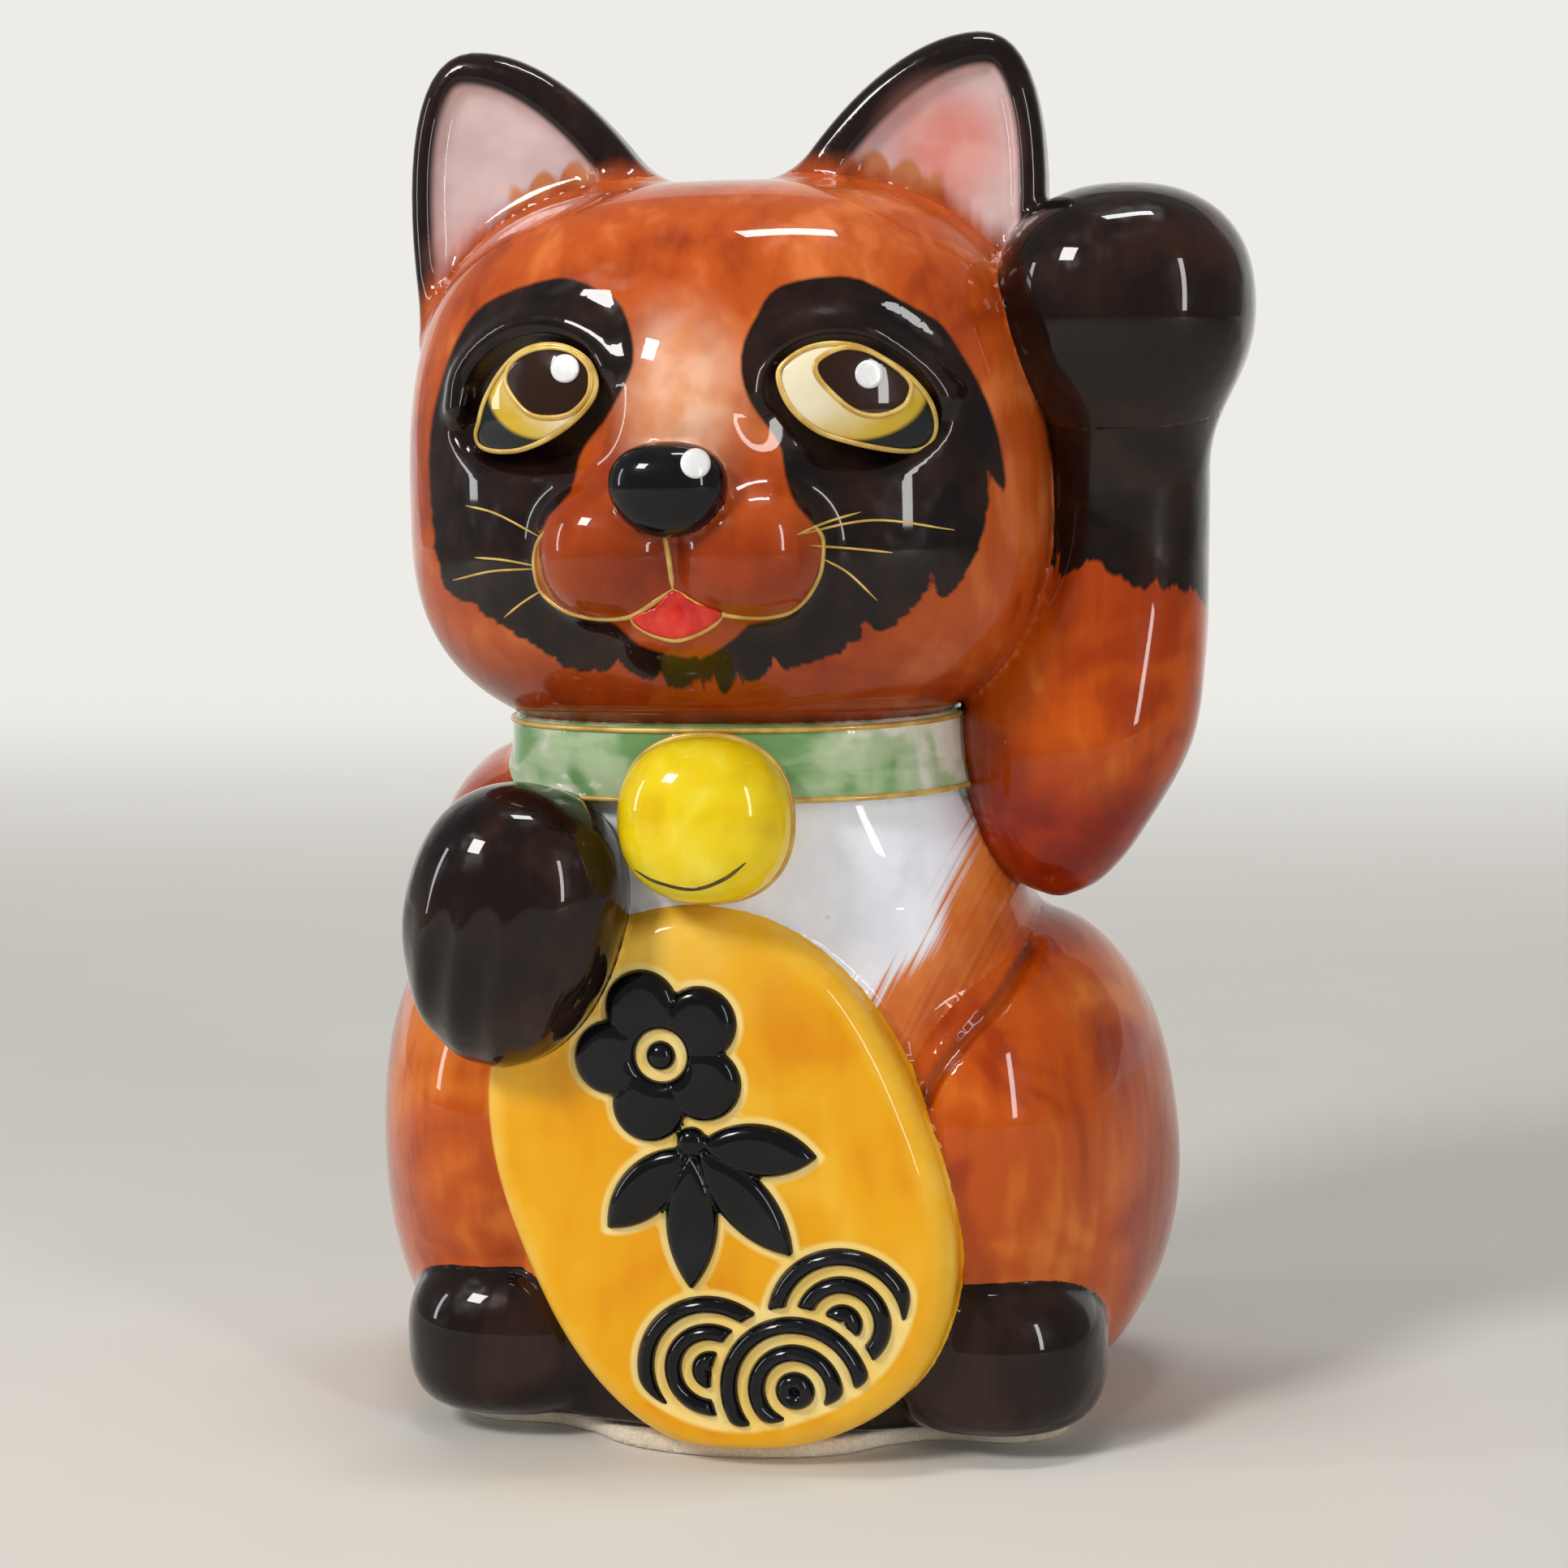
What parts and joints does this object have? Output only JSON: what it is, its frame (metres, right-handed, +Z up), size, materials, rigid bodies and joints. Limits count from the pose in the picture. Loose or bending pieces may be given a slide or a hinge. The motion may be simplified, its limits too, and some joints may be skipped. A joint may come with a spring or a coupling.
{
  "type": "lucky figurine coin bank",
  "caption": "Seated glazed ceramic lucky figure with one paw raised, holding a gold coin plate, hollow, with a coin slot and a rubber base stopper.",
  "frame": {"origin": "on the table, under the middle of the figure's outer box", "axes": "+Z up; the figure looks along -Y; its own left side, with the raised arm, is +X"},
  "size_m": [0.122, 0.0986, 0.1805],
  "materials": {
    "brown_glaze": "brushed orange-brown glaze, high gloss",
    "black_glaze": "black-brown glaze, high gloss",
    "gold_glaze": "golden yellow glaze, high gloss",
    "yellow_glaze": "lemon yellow glaze, high gloss",
    "green_glaze": "mottled celadon green glaze, high gloss",
    "eye_glaze": "amber and dark brown painted eye under clear glaze",
    "bisque": "unglazed white foot rim",
    "stopper_rubber": "matt soft rubber"
  },
  "bodies": {
    "figure": {"base_plate": "bisque", "torso_shell": "brown_glaze", "tail": "black_glaze", "left_haunch": "brown_glaze", "left_foot": "black_glaze", "right_haunch": "brown_glaze", "right_foot": "black_glaze", "koban": "gold_glaze", "collar": "green_glaze", "bell": "yellow_glaze", "lowered_arm": "brown_glaze", "lowered_paw": "black_glaze", "head_shell": "brown_glaze", "left_eye": "eye_glaze", "left_ear": "black_glaze", "right_eye": "eye_glaze", "right_ear": "black_glaze", "muzzle": "brown_glaze", "nose": "black_glaze", "raised_arm": "brown_glaze", "raised_paw": "black_glaze"},
    "stopper": {"stopper": "stopper_rubber"}
  },
  "joints": [
    {"name": "stopper_pull", "type": "slide", "parent": "figure", "child": "stopper", "axis": [0, 0, -1], "range_m": [0, 0.05]}
  ]
}
